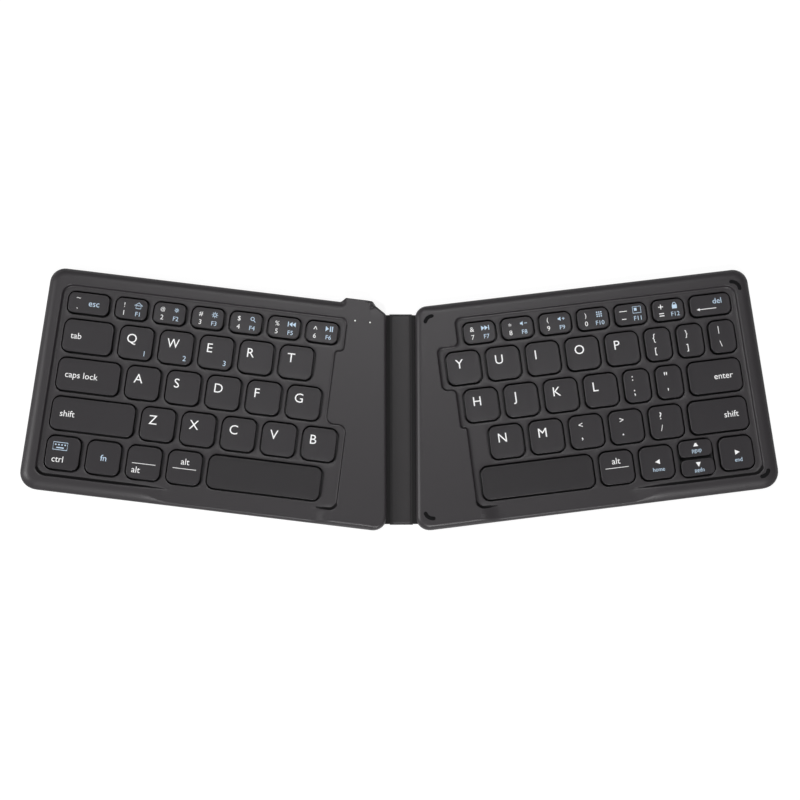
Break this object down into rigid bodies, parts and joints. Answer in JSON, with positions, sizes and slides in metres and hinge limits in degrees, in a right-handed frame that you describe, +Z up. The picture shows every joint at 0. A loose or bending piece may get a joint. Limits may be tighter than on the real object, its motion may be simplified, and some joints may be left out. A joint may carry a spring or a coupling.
{
  "type": "folding keyboard",
  "caption": "Slim wireless keyboard in two splayed halves that fold face to face on a soft book spine with two creases; low sprung keys in sunk wells.",
  "frame": {"origin": "middle of the spine's underside, with the keyboard lying open and flat", "axes": "+X to the right along the keyboard, +Y to its back edge, +Z up out of the keys"},
  "size_m": [0.3042, 0.1063, 0.0056],
  "materials": {
    "case": "fine soft-touch",
    "keycap": "fine matte, with light printed legends",
    "spine": "soft, satin",
    "spine_panel": "fine matte",
    "key_plate": "bright rolled",
    "dome_sheet": "translucent silicone domes on film",
    "scissor": "smooth",
    "bumper": "matt",
    "magnet": "nickel plated",
    "battery": "foil pouch",
    "board": "lacquered",
    "port": "plated shell",
    "lens": "clear",
    "flex": "film"
  },
  "bodies": {
    "right_half": {"right_bottom_case": "case", "right_top_case": "case", "right_key_plate": "key_plate", "right_dome_sheet": "dome_sheet", "right_scissors": "scissor", "right_bumpers": "bumper", "right_magnets": "magnet"},
    "spine": {"spine_skin": "spine", "spine_panel": "spine_panel", "flex_cable": "flex"},
    "left_half": {"left_bottom_case": "case", "left_top_case": "case", "left_key_plate": "key_plate", "left_dome_sheet": "dome_sheet", "left_scissors": "scissor", "left_magnets": "magnet", "battery": "battery", "main_board": "board", "charging_port": "port", "status_lights": "lens"},
    "key_q_cap": {"key_q": "keycap"},
    "key_w_cap": {"key_w": "keycap"},
    "key_e_cap": {"key_e": "keycap"},
    "key_r_cap": {"key_r_letter": "keycap"},
    "key_t_cap": {"key_t": "keycap"},
    "key_a_cap": {"key_a": "keycap"},
    "key_s_cap": {"key_s": "keycap"},
    "key_d_cap": {"key_d": "keycap"},
    "key_f_cap": {"key_f": "keycap"},
    "key_g_cap": {"key_g": "keycap"},
    "key_z_cap": {"key_z_letter": "keycap"},
    "key_x_cap": {"key_x": "keycap"},
    "key_c_cap": {"key_c": "keycap"},
    "key_v_cap": {"key_v": "keycap"},
    "key_b_cap": {"key_b": "keycap"},
    "key_y_cap": {"key_y": "keycap"},
    "key_u_cap": {"key_u_letter": "keycap"},
    "key_i_cap": {"key_i": "keycap"},
    "key_o_cap": {"key_o": "keycap"},
    "key_p_cap": {"key_p": "keycap"},
    "key_h_cap": {"key_h": "keycap"},
    "key_j_cap": {"key_j": "keycap"},
    "key_k_cap": {"key_k": "keycap"},
    "key_l_cap": {"key_l": "keycap"},
    "key_n_cap": {"key_n": "keycap"},
    "key_m_cap": {"key_m": "keycap"},
    "key_space_left_cap": {"key_space_left": "keycap"},
    "key_space_right_cap": {"key_space_right": "keycap"},
    "key_esc_cap": {"key_esc": "keycap"},
    "key_del_cap": {"key_del": "keycap"},
    "key_tab_cap": {"key_tab": "keycap"},
    "key_caps_cap": {"key_caps": "keycap"},
    "key_shift_left_cap": {"key_shift_left": "keycap"},
    "key_enter_cap": {"key_enter": "keycap"},
    "key_shift_right_cap": {"key_shift_right": "keycap"},
    "keys_left_numbers_caps": {"keys_left_numbers": "keycap"},
    "keys_right_numbers_caps": {"keys_right_numbers": "keycap"},
    "keys_punctuation_caps": {"keys_punctuation": "keycap"},
    "keys_left_modifiers_caps": {"keys_left_modifiers": "keycap"},
    "keys_right_arrows_caps": {"keys_right_arrows": "keycap"}
  },
  "joints": [
    {"name": "right_fold", "type": "hinge", "parent": "right_half", "child": "spine", "pos_m": [0.00515, 0, 0.00045], "axis": [0, 1, 0], "range_deg": [0, 90]},
    {"name": "left_fold", "type": "hinge", "parent": "spine", "child": "left_half", "pos_m": [-0.00515, 0, 0.00045], "axis": [0, 1, 0], "range_deg": [0, 90], "deforming": ["flex_cable"]},
    {"name": "key_q_press", "type": "slide", "parent": "left_half", "child": "key_q_cap", "axis": [0, 0, -1], "range_m": [0, 0.001], "stiffness_N_per_m": 400, "deforming": ["left_dome_sheet", "left_scissors"]},
    {"name": "key_w_press", "type": "slide", "parent": "left_half", "child": "key_w_cap", "axis": [0, 0, -1], "range_m": [0, 0.001], "stiffness_N_per_m": 400},
    {"name": "key_e_press", "type": "slide", "parent": "left_half", "child": "key_e_cap", "axis": [0, 0, -1], "range_m": [0, 0.001], "stiffness_N_per_m": 400},
    {"name": "key_r_press", "type": "slide", "parent": "left_half", "child": "key_r_cap", "axis": [0, 0, -1], "range_m": [0, 0.001], "stiffness_N_per_m": 400},
    {"name": "key_t_press", "type": "slide", "parent": "left_half", "child": "key_t_cap", "axis": [0, 0, -1], "range_m": [0, 0.001], "stiffness_N_per_m": 400},
    {"name": "key_a_press", "type": "slide", "parent": "left_half", "child": "key_a_cap", "axis": [0, 0, -1], "range_m": [0, 0.001], "stiffness_N_per_m": 400},
    {"name": "key_s_press", "type": "slide", "parent": "left_half", "child": "key_s_cap", "axis": [0, 0, -1], "range_m": [0, 0.001], "stiffness_N_per_m": 400},
    {"name": "key_d_press", "type": "slide", "parent": "left_half", "child": "key_d_cap", "axis": [0, 0, -1], "range_m": [0, 0.001], "stiffness_N_per_m": 400},
    {"name": "key_f_press", "type": "slide", "parent": "left_half", "child": "key_f_cap", "axis": [0, 0, -1], "range_m": [0, 0.001], "stiffness_N_per_m": 400},
    {"name": "key_g_press", "type": "slide", "parent": "left_half", "child": "key_g_cap", "axis": [0, 0, -1], "range_m": [0, 0.001], "stiffness_N_per_m": 400},
    {"name": "key_z_press", "type": "slide", "parent": "left_half", "child": "key_z_cap", "axis": [0, 0, -1], "range_m": [0, 0.001], "stiffness_N_per_m": 400},
    {"name": "key_x_press", "type": "slide", "parent": "left_half", "child": "key_x_cap", "axis": [0, 0, -1], "range_m": [0, 0.001], "stiffness_N_per_m": 400},
    {"name": "key_c_press", "type": "slide", "parent": "left_half", "child": "key_c_cap", "axis": [0, 0, -1], "range_m": [0, 0.001], "stiffness_N_per_m": 400},
    {"name": "key_v_press", "type": "slide", "parent": "left_half", "child": "key_v_cap", "axis": [0, 0, -1], "range_m": [0, 0.001], "stiffness_N_per_m": 400},
    {"name": "key_b_press", "type": "slide", "parent": "left_half", "child": "key_b_cap", "axis": [0, 0, -1], "range_m": [0, 0.001], "stiffness_N_per_m": 400},
    {"name": "key_y_press", "type": "slide", "parent": "right_half", "child": "key_y_cap", "axis": [0, 0, -1], "range_m": [0, 0.001], "stiffness_N_per_m": 400},
    {"name": "key_u_press", "type": "slide", "parent": "right_half", "child": "key_u_cap", "axis": [0, 0, -1], "range_m": [0, 0.001], "stiffness_N_per_m": 400},
    {"name": "key_i_press", "type": "slide", "parent": "right_half", "child": "key_i_cap", "axis": [0, 0, -1], "range_m": [0, 0.001], "stiffness_N_per_m": 400},
    {"name": "key_o_press", "type": "slide", "parent": "right_half", "child": "key_o_cap", "axis": [0, 0, -1], "range_m": [0, 0.001], "stiffness_N_per_m": 400},
    {"name": "key_p_press", "type": "slide", "parent": "right_half", "child": "key_p_cap", "axis": [0, 0, -1], "range_m": [0, 0.001], "stiffness_N_per_m": 400, "deforming": ["right_dome_sheet", "right_scissors"]},
    {"name": "key_h_press", "type": "slide", "parent": "right_half", "child": "key_h_cap", "axis": [0, 0, -1], "range_m": [0, 0.001], "stiffness_N_per_m": 400},
    {"name": "key_j_press", "type": "slide", "parent": "right_half", "child": "key_j_cap", "axis": [0, 0, -1], "range_m": [0, 0.001], "stiffness_N_per_m": 400},
    {"name": "key_k_press", "type": "slide", "parent": "right_half", "child": "key_k_cap", "axis": [0, 0, -1], "range_m": [0, 0.001], "stiffness_N_per_m": 400},
    {"name": "key_l_press", "type": "slide", "parent": "right_half", "child": "key_l_cap", "axis": [0, 0, -1], "range_m": [0, 0.001], "stiffness_N_per_m": 400},
    {"name": "key_n_press", "type": "slide", "parent": "right_half", "child": "key_n_cap", "axis": [0, 0, -1], "range_m": [0, 0.001], "stiffness_N_per_m": 400},
    {"name": "key_m_press", "type": "slide", "parent": "right_half", "child": "key_m_cap", "axis": [0, 0, -1], "range_m": [0, 0.001], "stiffness_N_per_m": 400},
    {"name": "key_space_left_press", "type": "slide", "parent": "left_half", "child": "key_space_left_cap", "axis": [0, 0, -1], "range_m": [0, 0.001], "stiffness_N_per_m": 400},
    {"name": "key_space_right_press", "type": "slide", "parent": "right_half", "child": "key_space_right_cap", "axis": [0, 0, -1], "range_m": [0, 0.001], "stiffness_N_per_m": 400},
    {"name": "key_esc_press", "type": "slide", "parent": "left_half", "child": "key_esc_cap", "axis": [0, 0, -1], "range_m": [0, 0.001], "stiffness_N_per_m": 400},
    {"name": "key_del_press", "type": "slide", "parent": "right_half", "child": "key_del_cap", "axis": [0, 0, -1], "range_m": [0, 0.001], "stiffness_N_per_m": 400},
    {"name": "key_tab_press", "type": "slide", "parent": "left_half", "child": "key_tab_cap", "axis": [0, 0, -1], "range_m": [0, 0.001], "stiffness_N_per_m": 400},
    {"name": "key_caps_press", "type": "slide", "parent": "left_half", "child": "key_caps_cap", "axis": [0, 0, -1], "range_m": [0, 0.001], "stiffness_N_per_m": 400},
    {"name": "key_shift_left_press", "type": "slide", "parent": "left_half", "child": "key_shift_left_cap", "axis": [0, 0, -1], "range_m": [0, 0.001], "stiffness_N_per_m": 400},
    {"name": "key_enter_press", "type": "slide", "parent": "right_half", "child": "key_enter_cap", "axis": [0, 0, -1], "range_m": [0, 0.001], "stiffness_N_per_m": 400},
    {"name": "key_shift_right_press", "type": "slide", "parent": "right_half", "child": "key_shift_right_cap", "axis": [0, 0, -1], "range_m": [0, 0.001], "stiffness_N_per_m": 400},
    {"name": "keys_left_numbers_press", "type": "slide", "parent": "left_half", "child": "keys_left_numbers_caps", "axis": [0, 0, -1], "range_m": [0, 0.001], "stiffness_N_per_m": 400},
    {"name": "keys_right_numbers_press", "type": "slide", "parent": "right_half", "child": "keys_right_numbers_caps", "axis": [0, 0, -1], "range_m": [0, 0.001], "stiffness_N_per_m": 400},
    {"name": "keys_punctuation_press", "type": "slide", "parent": "right_half", "child": "keys_punctuation_caps", "axis": [0, 0, -1], "range_m": [0, 0.001], "stiffness_N_per_m": 400},
    {"name": "keys_left_modifiers_press", "type": "slide", "parent": "left_half", "child": "keys_left_modifiers_caps", "axis": [0, 0, -1], "range_m": [0, 0.001], "stiffness_N_per_m": 400},
    {"name": "keys_right_arrows_press", "type": "slide", "parent": "right_half", "child": "keys_right_arrows_caps", "axis": [0, 0, -1], "range_m": [0, 0.001], "stiffness_N_per_m": 400}
  ]
}
